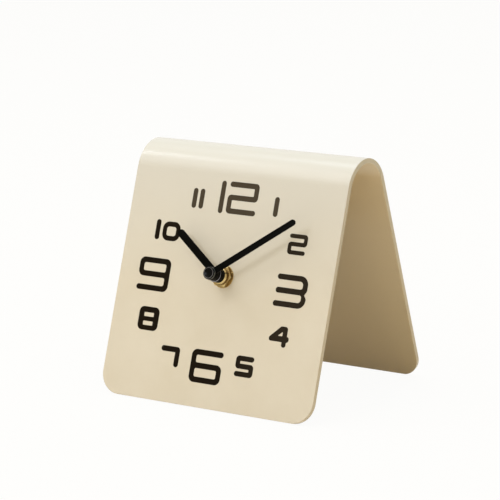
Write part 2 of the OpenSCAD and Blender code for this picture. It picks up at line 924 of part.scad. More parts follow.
module cap_nut() {
    dish_r = ball_r(cap_dish_r, cap_dish);
    color(black) on_dial(minute_hub_end) difference() {
        rounded_disc(cap_r, cap_t, cap_edge);
        translate([0, 0, cap_t + dish_r - cap_dish]) sphere(dish_r);
        translate([0, 0, -over]) cylinder(r = minute_r, h = cap_bore_l + over);
    }
}

stand_panel();
panel_gasket();
face_washer();
fixing_nut();
threaded_bush();
case_front();
case_back();
gear_bridge();
bridge_screws();
hour_wheel();
minute_arbor();
centre_wheel();
motion_wheel();
third_wheel();
seconds_wheel();
seconds_arbor();
intermediate_wheel();
rotor_pinion();
rotor_magnet();
stator();
coil_core();
coil_bobbin();
coil_winding();
circuit_board();
control_chip();
quartz_crystal();
contact_plus();
contact_minus();
battery_cell();
setting_knob();
hour_hand();
minute_hand();
cap_nut();
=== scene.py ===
import json
from math import atan2, cos, pi, radians, sin, tan

import bmesh
import bpy
from mathutils import Matrix, Vector


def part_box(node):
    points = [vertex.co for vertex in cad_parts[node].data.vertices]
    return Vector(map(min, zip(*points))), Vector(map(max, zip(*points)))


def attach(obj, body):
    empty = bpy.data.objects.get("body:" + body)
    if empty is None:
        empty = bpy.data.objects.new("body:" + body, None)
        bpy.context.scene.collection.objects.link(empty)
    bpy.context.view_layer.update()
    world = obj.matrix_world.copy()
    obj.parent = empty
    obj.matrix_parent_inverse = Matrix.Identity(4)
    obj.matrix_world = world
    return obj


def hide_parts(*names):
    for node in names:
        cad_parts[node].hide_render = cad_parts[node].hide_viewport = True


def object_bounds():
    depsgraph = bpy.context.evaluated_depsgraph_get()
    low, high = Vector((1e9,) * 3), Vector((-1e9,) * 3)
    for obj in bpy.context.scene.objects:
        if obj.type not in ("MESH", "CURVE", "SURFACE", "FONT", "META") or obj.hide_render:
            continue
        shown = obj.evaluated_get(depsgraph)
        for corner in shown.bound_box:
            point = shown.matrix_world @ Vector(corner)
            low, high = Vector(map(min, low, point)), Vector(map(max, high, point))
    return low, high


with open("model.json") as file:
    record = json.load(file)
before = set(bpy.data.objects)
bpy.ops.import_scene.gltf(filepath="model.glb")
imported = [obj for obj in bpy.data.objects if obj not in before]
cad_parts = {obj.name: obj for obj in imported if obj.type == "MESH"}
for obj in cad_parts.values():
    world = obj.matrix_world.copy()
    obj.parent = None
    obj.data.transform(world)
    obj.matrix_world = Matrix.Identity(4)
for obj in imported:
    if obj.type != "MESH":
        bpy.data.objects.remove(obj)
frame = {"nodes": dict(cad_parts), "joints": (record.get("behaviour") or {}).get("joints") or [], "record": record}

# A desk clock: a sheet bent into a tent-shaped stand, with a battery movement
# behind the front leg and two hands on the dial.
#
# Pieces are modelled in millimetres in dial coordinates: X across the dial, Y up
# its face and Z out of it, from the point where the hands' axis meets the face.

cad_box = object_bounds()
nodes = frame["nodes"]
joints = {joint["name"]: joint for joint in frame["joints"]}

MM = 0.001

# How near a plane or an axis a spot has to be to be picked, and how much of a
# direction lies along Z in a face that looks that way
NEAR = 0.01
FACING = 0.9

# Points closer than this are merged. Ink and CAD triangles have a distance of their own,
# and CAD triangles with less than CAD_FLAT between them become one face.
WELD = 0.001
INK_WELD = 0.002
CAD_WELD = 0.0005
CAD_FLAT = radians(0.5)

# Edges with a larger turn than these are broken, or stay sharp in the shading
SHARP = radians(30)
SMOOTH = radians(32)

# A round end takes this share of half its bar, so that its two arcs stay apart
ROUND_SHARE = 0.999

centre = Vector(joints["minute_spin"]["pos_m"])
out = Vector(joints["minute_spin"]["axis"]).normalized()
across = Vector((1, 0, 0))
up = out.cross(across)
lean = atan2(out.z, -out.y)
DIAL = (Matrix.Translation(centre) @ Matrix((across, up, out)).transposed().to_4x4()
        @ Matrix.Scale(MM, 4))


def dial_box(node):
    """The lowest and highest corner of a node in dial coordinates."""
    turn = DIAL.inverted()
    spots = [turn @ vertex.co for vertex in nodes[node].data.vertices]
    return (Vector([min(spot[k] for spot in spots) for k in range(3)]),
            Vector([max(spot[k] for spot in spots) for k in range(3)]))


# Modelling helpers

def start(name):
    """Names the primitive that was just added."""
    piece = bpy.context.object
    piece.name = name
    piece.data.name = name
    return piece


def clear():
    bpy.ops.object.select_all(action="DESELECT")


def place_new(name, data):
    """Puts new data in the scene as an object of that name."""
    piece = bpy.data.objects.new(name, data)
    bpy.context.scene.collection.objects.link(piece)
    return piece


def make_active(piece):
    clear()
    piece.select_set(True)
    bpy.context.view_layer.objects.active = piece


def edit():
    bpy.ops.object.mode_set(mode="EDIT")


def leave():
    bpy.ops.object.mode_set(mode="OBJECT")


def everything():
    bpy.ops.mesh.select_all(action="SELECT")


def extrude(step):
    bpy.ops.mesh.extrude_region_move(TRANSFORM_OT_translate={"value": step})


def weld(distance=WELD):
    """Merges doubled points and turns the faces outward, in edit mode."""
    everything()
    bpy.ops.mesh.remove_doubles(threshold=distance)
    bpy.ops.mesh.normals_make_consistent(inside=False)


def pick(test, kind="FACE"):
    """Selects, in edit mode, the faces, edges or vertices whose middle and direction pass a test."""
    bpy.ops.mesh.select_mode(type=kind)
    bpy.ops.mesh.select_all(action="DESELECT")
    data = bpy.context.edit_object.data
    net = bmesh.from_edit_mesh(data)
    if kind == "FACE":
        for face in net.faces:
            face.select_set(test(face.calc_center_median(), face.normal))
    elif kind == "EDGE":
        for edge in net.edges:
            ends = [vertex.co for vertex in edge.verts]
            edge.select_set(test((ends[0] + ends[1]) / 2, ends[1] - ends[0]))
    else:
        for vertex in net.verts:
            vertex.select_set(test(vertex.co, vertex.normal))
    net.select_flush_mode()
    bmesh.update_edit_mesh(data)


def apply(piece, kind, **settings):
    """Adds a modifier with its settings and applies it."""
    make_active(piece)
    modifier = piece.modifiers.new(kind.lower(), kind)
    for setting, value in settings.items():
        setattr(modifier, setting, value)
    bpy.ops.object.modifier_apply(modifier=modifier.name)


def combine(piece, other, operation):
    """Joins, cuts or trims a piece with another, which is then removed."""
    apply(piece, "BOOLEAN", operation=operation, object=other, solver="EXACT")
    bpy.data.objects.remove(other)


def soften(piece, width, segments):
    """Rounds every sharp edge a little and shades the flats flat."""
    apply(piece, "BEVEL", width=width, segments=segments, limit_method="ANGLE", angle_limit=SHARP,
          harden_normals=False, miter_outer="MITER_ARC")
    bpy.ops.object.shade_smooth()
    apply(piece, "WEIGHTED_NORMAL", keep_sharp=False, weight=80)


def square(name):
    """A flat unit square round the origin."""
    clear()
    bpy.ops.mesh.primitive_plane_add(size=1)
    return start(name)


def cylinder(name, radius, low, high, sides=96):
    """A round bar on the Z axis, from low to high."""
    clear()
    bpy.ops.mesh.primitive_cylinder_add(vertices=sides, radius=radius, depth=high - low,
                                        location=(0, 0, (low + high) / 2))
    piece = start(name)
    bpy.ops.object.transform_apply(location=True)
    return piece


def merged_copy(node, name):
    """A copy of a node's mesh in dial coordinates, with its loose triangles merged to plain faces."""
    piece = place_new(name, nodes[node].data.copy())
    piece.data.name = name
    piece.data.transform(DIAL.inverted())
    make_active(piece)
    edit()
    everything()
    bpy.ops.mesh.remove_doubles(threshold=CAD_WELD)
    bpy.ops.mesh.dissolve_limited(angle_limit=CAD_FLAT)
    leave()
    if piece.data.has_custom_normals:
        bpy.ops.mesh.customdata_custom_splitnormals_clear()
    return piece


def coat(piece, *finishes):
    """Gives a piece these materials in place of its own."""
    piece.data.materials.clear()
    for material in finishes:
        piece.data.materials.append(material)


def mark_ring(piece, inner, outer, low, high):
    """Gives the second material to the faces in a ring round the hands' axis."""
    for face in piece.data.polygons:
        spot = face.center
        if inner < spot.xy.length < outer and low < spot.z < high:
            face.material_index = 1


def finish(piece, body, slot, *stands_for):
    """Gives a piece its place and body, and hides the nodes that it stands for. The slot is not used."""
    piece.data.transform(DIAL)
    piece.matrix_world = Matrix.Identity(4)
    piece.data.update()
    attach(piece, body)
    if stands_for:
        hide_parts(*stands_for)


# Shared effects for the materials

def new_group(name, inputs, outputs):
    """A node group with value or vector inputs, given with their values, and named outputs."""
    group = bpy.data.node_groups.new(name, "ShaderNodeTree")
    for socket, kind, value in inputs:
        made = group.interface.new_socket(socket, in_out="INPUT", socket_type="NodeSocket" + kind)
        if value is not None:
            made.default_value = value
    for socket, kind in outputs:
        group.interface.new_socket(socket, in_out="OUTPUT", socket_type="NodeSocket" + kind)
    return group, group.nodes.new("NodeGroupInput"), group.nodes.new("NodeGroupOutput")


def put(tree, kind, links=(), **settings):
    """Adds a node, sets its properties and sockets, and links sockets to it.

    A setting whose name is a property sets that property. Any other is the name of
    an input socket. links holds (input name or number, output socket) pairs.
    """
    node = tree.nodes.new("ShaderNode" + kind)
    for name, value in settings.items():
        if hasattr(node, name):
            setattr(node, name, value)
        else:
            node.inputs[name.replace("_", " ")].default_value = value
    for socket, source in links:
        tree.links.new(source, node.inputs[socket])
    return node


def maths(tree, operation, first, second=0.0, clamp=False):
    """The output of a Math node on two sockets or numbers."""
    node = tree.nodes.new("ShaderNodeMath")
    node.operation = operation
    node.use_clamp = clamp
    for k, value in enumerate((first, second)):
        if isinstance(value, (int, float)):
            node.inputs[k].default_value = value
        else:
            tree.links.new(value, node.inputs[k])
    return node.outputs[0]


def grain_group():
    """Mottling, fine grain and a height, at one grain size in metres."""
    group, given, result = new_group(
        "surface_grain",
        [("Vector", "Vector", None), ("Grain Size", "Float", 0.001), ("Patch Size", "Float", 0.02)],
        [("Mottle", "Float"), ("Grain", "Float"), ("Height", "Float")])
    fine_scale = maths(group, "DIVIDE", 1.0, given.outputs["Grain Size"])
    patch_scale = maths(group, "DIVIDE", 1.0, given.outputs["Patch Size"])
    fine = put(group, "TexNoise", [("Vector", given.outputs["Vector"]), ("Scale", fine_scale)],
               Detail=3.0, Roughness=0.55)
    patch = put(group, "TexNoise", [("Vector", given.outputs["Vector"]), ("Scale", patch_scale)],
                Detail=4.0, Roughness=0.6)
    cells = put(group, "TexVoronoi", [("Vector", given.outputs["Vector"]), ("Scale", fine_scale)],
                feature="SMOOTH_F1", Smoothness=0.8)
    peel = maths(group, "MULTIPLY", cells.outputs["Distance"], 0.6)
    height = maths(group, "ADD", fine.outputs["Fac"], peel)
    group.links.new(patch.outputs["Fac"], result.inputs["Mottle"])
    group.links.new(fine.outputs["Fac"], result.inputs["Grain"])
    group.links.new(height, result.inputs["Height"])
    return group


def turned_group():
    """Fine rings of a turned face or round bar, from coordinates whose Z is the turning axis."""
    group, given, result = new_group(
        "turning_marks",
        [("Vector", "Vector", None), ("Pitch", "Float", 0.0002)],
        [("Rings", "Float"), ("Tone", "Float")])
    parts = put(group, "SeparateXYZ", [("Vector", given.outputs["Vector"])])
    flat = put(group, "CombineXYZ", [("X", parts.outputs["X"]), ("Y", parts.outputs["Y"])])
    radius = put(group, "VectorMath", [(0, flat.outputs[0])], operation="LENGTH")
    along = maths(group, "MULTIPLY", parts.outputs["Z"], 0.7)
    place = maths(group, "ADD", radius.outputs["Value"], along)
    line = maths(group, "DIVIDE", place, given.outputs["Pitch"])
    wave = maths(group, "SINE", maths(group, "MULTIPLY", line, 2 * pi))
    uneven = put(group, "TexNoise", [("W", line)], noise_dimensions="1D", Scale=0.7, Detail=3.0)
    rings = maths(group, "ADD", maths(group, "MULTIPLY", wave, 0.25), uneven.outputs["Fac"])
    tone = put(group, "TexNoise", [("Vector", given.outputs["Vector"])], Scale=900.0, Detail=4.0)
    group.links.new(rings, result.inputs["Rings"])
    group.links.new(tone.outputs["Fac"], result.inputs["Tone"])
    return group


def brushed_group():
    """Long fine scratches along X, from stretched noise."""
    group, given, result = new_group(
        "brushed_lines",
        [("Vector", "Vector", None), ("Width", "Float", 0.00008), ("Length", "Float", 0.004)],
        [("Lines", "Float"), ("Tone", "Float")])
    wide = maths(group, "DIVIDE", 1.0, given.outputs["Width"])
    long = maths(group, "DIVIDE", 1.0, given.outputs["Length"])
    size = put(group, "CombineXYZ", [("X", long), ("Y", wide), ("Z", wide)])
    stretched = put(group, "VectorMath", [(0, given.outputs["Vector"]), (1, size.outputs[0])],
                    operation="MULTIPLY")
    lines = put(group, "TexNoise", [("Vector", stretched.outputs[0])], Scale=1.0, Detail=3.0)
    tone = put(group, "TexNoise", [("Vector", given.outputs["Vector"])], Scale=350.0, Detail=5.0)
    group.links.new(lines.outputs["Fac"], result.inputs["Lines"])
    group.links.new(tone.outputs["Fac"], result.inputs["Tone"])
    return group


GRAIN = grain_group()
TURNED = turned_group()
BRUSHED = brushed_group()


# Material helpers

def linear(red, green, blue):
    """A colour given as it looks on screen, from 0 to 255, as the shader wants it."""
    shares = [value / 255 for value in (red, green, blue)]
    return tuple(s / 12.92 if s <= 0.04045 else ((s + 0.055) / 1.055) ** 2.4 for s in shares) + (1.0,)


def new_material(name, **settings):
    """A material with a Principled shader whose uniform numbers are set on its own sockets."""
    material = bpy.data.materials.new(name)
    material.use_nodes = True
    tree = material.node_tree
    shader = tree.nodes["Principled BSDF"]
    for socket, value in settings.items():
        shader.inputs[socket.replace("_", " ")].default_value = value
    coordinates = tree.nodes.new("ShaderNodeTexCoord")
    return material, tree, shader, coordinates.outputs["Object"]


def on_dial_axis(tree, coordinates):
    """Object coordinates turned and moved so that Z is the hands' axis and the face is at zero."""
    turn = Matrix((across, up, out))
    return put(tree, "Mapping", [("Vector", coordinates)], Rotation=turn.to_euler(),
               Location=-(turn @ centre)).outputs[0]


def effect(tree, group, vector, **values):
    """Places a shared effect with its own values, and gives its outputs."""
    node = tree.nodes.new("ShaderNodeGroup")
    node.node_tree = group
    tree.links.new(vector, node.inputs["Vector"])
    for name, value in values.items():
        node.inputs[name.replace("_", " ")].default_value = value
    return node.outputs


def blend(tree, share, first, second, low=0.3, high=0.7):
    """A colour between two, as a mask goes from low to high."""
    ramp = tree.nodes.new("ShaderNodeValToRGB")
    ramp.color_ramp.elements[0].position = low
    ramp.color_ramp.elements[0].color = first
    ramp.color_ramp.elements[1].position = high
    ramp.color_ramp.elements[1].color = second
    tree.links.new(share, ramp.inputs["Fac"])
    return ramp.outputs["Color"]


def spread(tree, share, low, high, start=0.3, end=0.7):
    """A value from low to high, as a mask goes from start to end."""
    return put(tree, "MapRange", [("Value", share)], From_Min=start, From_Max=end,
               To_Min=low, To_Max=high).outputs["Result"]


def bump(tree, shader, height, depth):
    node = put(tree, "Bump", [("Height", height)], Distance=depth, Strength=1.0)
    tree.links.new(node.outputs["Normal"], shader.inputs["Normal"])


def moulded(name, dark, light, grain_size, roughness, depth, **settings):
    """A plastic, coat or paint with mottling, grain and uneven gloss."""
    material, tree, shader, place = new_material(name, **settings)
    grain = effect(tree, GRAIN, place, Grain_Size=grain_size, Patch_Size=grain_size * 30)
    tree.links.new(blend(tree, grain["Mottle"], dark, light), shader.inputs["Base Color"])
    tree.links.new(spread(tree, grain["Mottle"], *roughness), shader.inputs["Roughness"])
    bump(tree, shader, grain["Height"], depth)
    return material


def plated(name, dark, light, roughness, width, length, depth, **settings):
    """A rolled or plated metal with fine lines along X and stains."""
    material, tree, shader, place = new_material(name, Metallic=1.0, **settings)
    lines = effect(tree, BRUSHED, place, Width=width, Length=length)
    tree.links.new(blend(tree, lines["Tone"], dark, light), shader.inputs["Base Color"])
    tree.links.new(spread(tree, lines["Lines"], *roughness), shader.inputs["Roughness"])
    bump(tree, shader, lines["Lines"], depth)
    return material


# Heights of the corners between washer, nut and bush where the brass is painted dark as shade,
# and how far each one's painted shade reaches, in dial millimetres
SHADED_CORNERS = ((1.4, 1.3), (2.95, 0.3))


def turned_brass():
    """Brass with turning marks round the hands' axis, with painted shade in the corners between washer, nut and
    bush.
    """
    material, tree, shader, place = new_material("turned_brass", Metallic=1.0)
    dial = on_dial_axis(tree, place)
    marks = effect(tree, TURNED, dial, Pitch=0.00016)
    height = put(tree, "SeparateXYZ", [("Vector", dial)]).outputs["Z"]
    corners = None
    for corner, reach in SHADED_CORNERS:
        off = maths(tree, "ABSOLUTE", maths(tree, "SUBTRACT", height, corner * MM))
        near = put(tree, "MapRange", [("Value", off)], From_Max=reach * MM, To_Min=1.0, To_Max=0.0,
                   interpolation_type="SMOOTHSTEP").outputs["Result"]
        corners = near if corners is None else maths(tree, "MAXIMUM", corners, near)
    # Painted shade where the parts meet, mottled by the turning tone, mixed toward a dark brown
    painted_shade = maths(tree, "MULTIPLY", corners, spread(tree, marks["Tone"], 0.7, 1.0), clamp=True)
    bright = blend(tree, marks["Rings"], linear(190, 158, 92), linear(232, 206, 146))
    colour = put(tree, "Mix", [("Factor", painted_shade)], data_type="RGBA")
    tree.links.new(bright, colour.inputs["A"])
    colour.inputs["B"].default_value = linear(74, 46, 4)
    tree.links.new(colour.outputs["Result"], shader.inputs["Base Color"])
    tree.links.new(spread(tree, marks["Rings"], 0.12, 0.24), shader.inputs["Roughness"])
    bump(tree, shader, marks["Rings"], 0.00001)
    return material


def wound_copper():
    """Enamelled wire, laid turn by turn along X."""
    material, tree, shader, place = new_material("wound_copper", Metallic=1.0, Coat_Weight=0.6,
                                                 Coat_Roughness=0.15)
    wave = put(tree, "TexWave", [("Vector", place)], wave_type="BANDS", bands_direction="X",
               Scale=1400.0, Distortion=0.6, Detail=2.0)
    grain = effect(tree, GRAIN, place, Grain_Size=0.0003, Patch_Size=0.003)
    tree.links.new(blend(tree, wave.outputs["Fac"], linear(110, 48, 22), linear(206, 122, 70), 0.1, 0.8),
                   shader.inputs["Base Color"])
    tree.links.new(spread(tree, grain["Mottle"], 0.25, 0.45), shader.inputs["Roughness"])
    bump(tree, shader, wave.outputs["Fac"], 0.00004)
    return material


def printed_board():
    """A green board with paler tracks under its lacquer."""
    material, tree, shader, place = new_material("printed_board", Coat_Weight=0.3, Coat_Roughness=0.2)
    dial = on_dial_axis(tree, place)
    tracks = put(tree, "TexBrick", [("Vector", dial)], Scale=130.0, Mortar_Size=0.018, Mortar_Smooth=0.2,
                 Brick_Width=1.3, Row_Height=0.13,
                 Color1=linear(22, 78, 40), Color2=linear(26, 84, 44), Mortar=linear(58, 122, 72))
    grain = effect(tree, GRAIN, place, Grain_Size=0.0002, Patch_Size=0.004)
    tree.links.new(tracks.outputs["Color"], shader.inputs["Base Color"])
    tree.links.new(spread(tree, grain["Mottle"], 0.35, 0.55), shader.inputs["Roughness"])
    bump(tree, shader, tracks.outputs["Fac"], 0.00003)
    return material


# Where the paler band starts along the cell, and how soft its edge is
CELL_BAND_SHARE = 0.74
CELL_BLUR_SHARE = 0.004


def cell_film():
    """The cell's jacket: a plain dark film with a paler band at its plus end."""
    material, tree, shader, place = new_material("cell_film", Metallic=0.55, Coat_Weight=0.5,
                                                 Coat_Roughness=0.12)
    parts = put(tree, "SeparateXYZ", [("Vector", place)])
    low, high = dial_box("battery_cell")
    start_at, end_at = [(low.x + share * (high.x - low.x)) * MM
                        for share in (CELL_BAND_SHARE, CELL_BAND_SHARE + CELL_BLUR_SHARE)]
    band = put(tree, "MapRange", [("Value", parts.outputs["X"])], From_Min=start_at, From_Max=end_at)
    grain = effect(tree, GRAIN, place, Grain_Size=0.0004, Patch_Size=0.006)
    colour = blend(tree, band.outputs["Result"], linear(52, 60, 68), linear(150, 158, 160), 0.0, 1.0)
    tree.links.new(colour, shader.inputs["Base Color"])
    tree.links.new(spread(tree, grain["Mottle"], 0.28, 0.42), shader.inputs["Roughness"])
    bump(tree, shader, grain["Height"], 0.000008)
    return material


def cream_coat(name, dark, light, bend, bend_share=(0.45, 0.93), foot_share=1.0):
    """Satin powder coat: fine orange peel and faint mottling, with painted light: a paler tint that grows toward
    the bend.

    bend_share holds the heights, as shares of the stand's, where the painted light starts and is
    full. foot_share is how much of its brightness the coat keeps at the foot, where it is painted
    darker as shade.
    """
    material, tree, shader, place = new_material(name, Specular_IOR_Level=0.3, Coat_Weight=0.6,
                                                 Coat_Roughness=0.24)
    grain = effect(tree, GRAIN, place, Grain_Size=0.0009, Patch_Size=0.03)
    speck = put(tree, "TexNoise", [("Vector", place)], Scale=4200.0, Detail=2.0)
    base = blend(tree, grain["Mottle"], linear(*dark), linear(*light))
    tint = blend(tree, speck.outputs["Fac"], (0.965, 0.96, 0.945, 1), (1, 1, 1, 1), 0.25, 0.45)
    colour = put(tree, "Mix", data_type="RGBA", blend_type="MULTIPLY")
    colour.inputs["Factor"].default_value = 1.0
    tree.links.new(base, colour.inputs["A"])
    tree.links.new(tint, colour.inputs["B"])
    height = put(tree, "SeparateXYZ", [("Vector", place)]).outputs["Z"]
    rise = maths(tree, "DIVIDE", height, cad_box[1][2], clamp=True)
    # Painted light: the colour turns toward the paler bend colour as the stand rises
    painted_top_light = put(tree, "Mix", [("Factor", spread(tree, rise, 0.0, 1.0, *bend_share))], data_type="RGBA")
    tree.links.new(colour.outputs["Result"], painted_top_light.inputs["A"])
    painted_top_light.inputs["B"].default_value = linear(*bend)
    # Painted shade: the colour is darkened toward the foot, down to foot_share of it there
    painted_light_rise = maths(tree, "MULTIPLY", maths(tree, "POWER", rise, 0.5), 1 - foot_share)
    painted_foot_shade = put(tree, "VectorMath", [(0, painted_top_light.outputs["Result"])], operation="SCALE")
    tree.links.new(maths(tree, "ADD", painted_light_rise, foot_share), painted_foot_shade.inputs["Scale"])
    tree.links.new(painted_foot_shade.outputs["Vector"], shader.inputs["Base Color"])
    tree.links.new(spread(tree, grain["Mottle"], 0.44, 0.54), shader.inputs["Roughness"])
    bump(tree, shader, grain["Height"], 0.000012)
    return material


# Every slot of the CAD's nodes, and its material

materials = {
    # The last colour is the painted highlight toward the bend
    "cream_coat": cream_coat("cream_coat", (211, 199, 174), (216, 205, 182), (211, 204, 187)),
    "black_rubber": moulded("black_rubber", linear(30, 30, 30), linear(44, 43, 42), 0.0003, (0.7, 0.9),
                            0.00003),
    "brass": turned_brass(),
    "case_plastic": moulded("case_plastic", linear(33, 33, 35), linear(44, 44, 46), 0.00035, (0.48, 0.62),
                            0.00003),
    "knob_plastic": moulded("knob_plastic", linear(96, 96, 98), linear(122, 122, 123), 0.0003,
                            (0.4, 0.52), 0.00002),
    "gear_plastic": moulded("gear_plastic", linear(222, 220, 209), linear(240, 238, 229), 0.0003,
                            (0.34, 0.44), 0.00001, Subsurface_Weight=0.1, Subsurface_Scale=0.0006),
    "steel": plated("rolled_steel", linear(150, 152, 156), linear(192, 193, 196), (0.24, 0.4),
                    0.00006, 0.003, 0.00001),
    "contact_plate": plated("nickel_plate", linear(176, 172, 162), linear(214, 211, 202), (0.18, 0.34),
                            0.00005, 0.002, 0.000008),
    "magnet": moulded("ground_ferrite", linear(44, 43, 44), linear(70, 68, 68), 0.0002, (0.35, 0.6),
                      0.00001, Metallic=0.6),
    "copper_wire": wound_copper(),
    "board": printed_board(),
    "chip_resin": moulded("chip_resin", linear(16, 16, 17), linear(26, 26, 27), 0.0004, (0.12, 0.3),
                          0.00001),
    "crystal_can": plated("crystal_can", linear(180, 181, 184), linear(212, 213, 215), (0.15, 0.3),
                          0.00004, 0.002, 0.000006),
    "cell_jacket": cell_film(),
    "hand_paint": moulded("satin_black", linear(3, 3, 1), linear(7, 6, 3), 0.0003, (0.3, 0.38), 0.000006,
                          Specular_IOR_Level=0.045),
    "cap_gloss": moulded("gloss_black", linear(5, 5, 4), linear(9, 9, 8), 0.0006, (0.16, 0.24), 0.000006,
                         Specular_IOR_Level=0.08),
}


# A painted reflection greys the print from one height to another up the dial, and a little to the right:
# the direction, the two places in dial millimetres, and the most that it adds
INK_SHEEN_SPANS = (("Y", 20, 32, 1.0), ("X", 5, 35, 0.25))
INK_DARK = (23, 15, 4)
INK_SHEEN_GREY = (71, 62, 48)


def ink_with_painted_sheen():
    """Printed ink, dark low on the dial and greyed near its top and right by a painted reflection."""
    material, tree, shader, place = new_material("dial_ink", Specular_IOR_Level=0.06)
    dial = put(tree, "SeparateXYZ", [("Vector", on_dial_axis(tree, place))])
    grain = effect(tree, GRAIN, place, Grain_Size=0.0004, Patch_Size=0.012)
    top, side = [put(tree, "MapRange", [("Value", dial.outputs[way])], From_Min=low * MM,
                     From_Max=high * MM, To_Max=most, interpolation_type="SMOOTHSTEP").outputs["Result"]
                 for way, low, high, most in INK_SHEEN_SPANS]
    sheen_share = maths(tree, "ADD", top, side, clamp=True)
    colour = blend(tree, sheen_share, linear(*INK_DARK), linear(*INK_SHEEN_GREY), 0.0, 1.0)
    tree.links.new(colour, shader.inputs["Base Color"])
    tree.links.new(spread(tree, grain["Mottle"], 0.34, 0.44), shader.inputs["Roughness"])
    bump(tree, shader, grain["Height"], 0.00001)
    return material


# Bright metal for the hour hub's rounded edge, worn paint with a painted highlight on it, and a grey ring of
# painted highlight for the lip of the cap's dish
worn_edge_highlight, cap_ring_highlight = [
    moulded(name, linear(*dark), linear(*light), 0.0002, (0.3, 0.42), 0.000006, Metallic=0.9)
    for name, dark, light in (("worn_edge_highlight", (150, 146, 148), (190, 184, 188)),
                              ("cap_ring_highlight", (108, 106, 102), (138, 134, 130)))]
# A grey painted reflection for the cap's side wall
cap_side_sheen = moulded("cap_side_sheen", linear(50, 52, 48), linear(66, 68, 64), 0.0002, (0.36, 0.46), 0.000006)
# Shaded copies of the coat, painted darker for the inside of the tent and for the sheet's cut edge. The inside is
# also painted lighter toward the bend and darker at the foot.
shaded_coat_inside = cream_coat("cream_coat_inside_shaded", (210, 188, 138), (216, 194, 145), (234, 217, 183),
                         (0.0, 1.0), 0.76)
shaded_coat_edge = cream_coat("cream_coat_edge_shaded", (199, 184, 150), (204, 190, 157), (200, 188, 158))
dial_ink = ink_with_painted_sheen()

slot_of = {part["node"]: part["material_slot"] for part in frame["record"]["subparts"]}
for node_name, node_object in nodes.items():
    for material_slot in node_object.material_slots:
        material_slot.material = materials[slot_of[node_name]]


# Stand

CORNER_R = 10.5
CORNER_STEPS = 16
SHEET_EDGE = 0.45
BEND_STEPS = 56
HOLE_R = 4.15


def bent_sheet():
    """The sheet: a flat front leg, spun round the bend and drawn on down the rear leg."""
    low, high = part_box("stand_panel")
    width = (high.x - low.x) / MM
    bottom = dial_box("stand_panel")[0].y
    thickness = -dial_box("panel_gasket")[1].z
    top = Vector((0, 0, high.z))
    bend_r = -(top - centre).dot(out) / (1 - out.z) / MM
    bend_at = DIAL.inverted() @ (top - Vector((0, 0, bend_r * MM)))
    leg_l = bend_at.y - bottom
    bend_turn = pi - 2 * lean

    sheet = square("bent_sheet")
    edit()
    everything()
    bpy.ops.transform.resize(value=(width, leg_l, 1))
    bpy.ops.transform.translate(value=(0, bottom + leg_l / 2, 0))
    pick(lambda spot, _along: spot.y > bend_at.y - NEAR, "EDGE")
    bpy.ops.mesh.spin(steps=BEND_STEPS, angle=bend_turn, center=bend_at, axis=(1, 0, 0))
    leave()
    turn = Matrix.Rotation(-bend_turn, 3, "X")
    end = bend_at + turn @ Vector((0, 0, bend_r))
    down = turn @ Vector((0, 1, 0))
    edit()
    pick(lambda spot, _along: (spot - end).length < NEAR, "EDGE")
    extrude(down * leg_l)
    foot = end + down * leg_l
    pick(lambda spot, _normal: abs(spot.x) > width / 2 - NEAR
         and (spot.y < bottom + NEAR or (spot - foot).dot(down) > -NEAR), "VERT")
    bpy.ops.mesh.bevel(affect="VERTICES", offset=CORNER_R, segments=CORNER_STEPS)
    leave()
    # The inside and the cut edge take the shaded copies of the coat
    coat(sheet, materials["cream_coat"], shaded_coat_inside, shaded_coat_edge)
    outward = sheet.data.polygons[0].normal.z > 0
    apply(sheet, "SOLIDIFY", thickness=thickness, offset=-1 if outward else 1, use_even_offset=True,
          material_offset=1, material_offset_rim=2)
    edit()
    everything()
    floor_at = DIAL.inverted() @ Vector((0, 0, 0))
    floor_up = DIAL.to_3x3().inverted() @ Vector((0, 0, 1))
    bpy.ops.mesh.bisect(plane_co=floor_at, plane_no=floor_up.normalized(), use_fill=True, clear_inner=True)
    weld()
    leave()
    combine(sheet, cylinder("hole_cutter", HOLE_R, -2 * thickness, thickness), "DIFFERENCE")
    soften(sheet, SHEET_EDGE, 4)
    finish(sheet, "stand", "cream_coat", "stand_panel")


bent_sheet()


# Numerals: outlines whose corners are (across, up, radius) in millimetres, with up
# counted from the dial's bottom edge. The print swelled a little past its outlines.

dial_bottom = dial_box("stand_panel")[0].y
INK_T = 0.05
INK_SUNK = 0.02
INK_SWELL = 0.085
INK_SWELLS = {"3": 0.055, "4": 0, "6": 0.11, "7": 0.14, "8": 0.11, "9": 0.04}
ARC_STEPS = 8


def rounded(corners, swell):
    """The points of an outline, with an arc at each corner, moved outward by a swell."""
    spots = []
    double_area = sum(corners[k - 1][0] * y - x * corners[k - 1][1]
                      for k, (x, y, _radius) in enumerate(corners))
    for k, (x, y, radius) in enumerate(corners):
        corner = Vector((x, y))
        before = (Vector(corners[k - 1][:2]) - corner).normalized()
        after = (Vector(corners[(k + 1) % len(corners)][:2]) - corner).normalized()
        half = before.angle(after) / 2
        middle = corner + (before + after).normalized() * radius / sin(half)
        first = corner + before * radius / tan(half) - middle
        last = corner + after * radius / tan(half) - middle
        sweep = pi - 2 * half
        bulges = (after.cross(before) > 0) == (double_area > 0)
        growth = 1 + (swell if bulges else -swell) / radius
        for step in range(ARC_STEPS + 1):
            share = step / ARC_STEPS
            ray = first * sin((1 - share) * sweep) + last * sin(share * sweep)
            spots.append(middle + growth * ray / sin(sweep))
    return spots


def bar(x, low, high, width):
    """One upright stroke with round ends."""
    side = width / 2
    end = side * ROUND_SHARE
    return [[(x - side, low, end), (x + side, low, end), (x + side, high, end), (x - side, high, end)]]


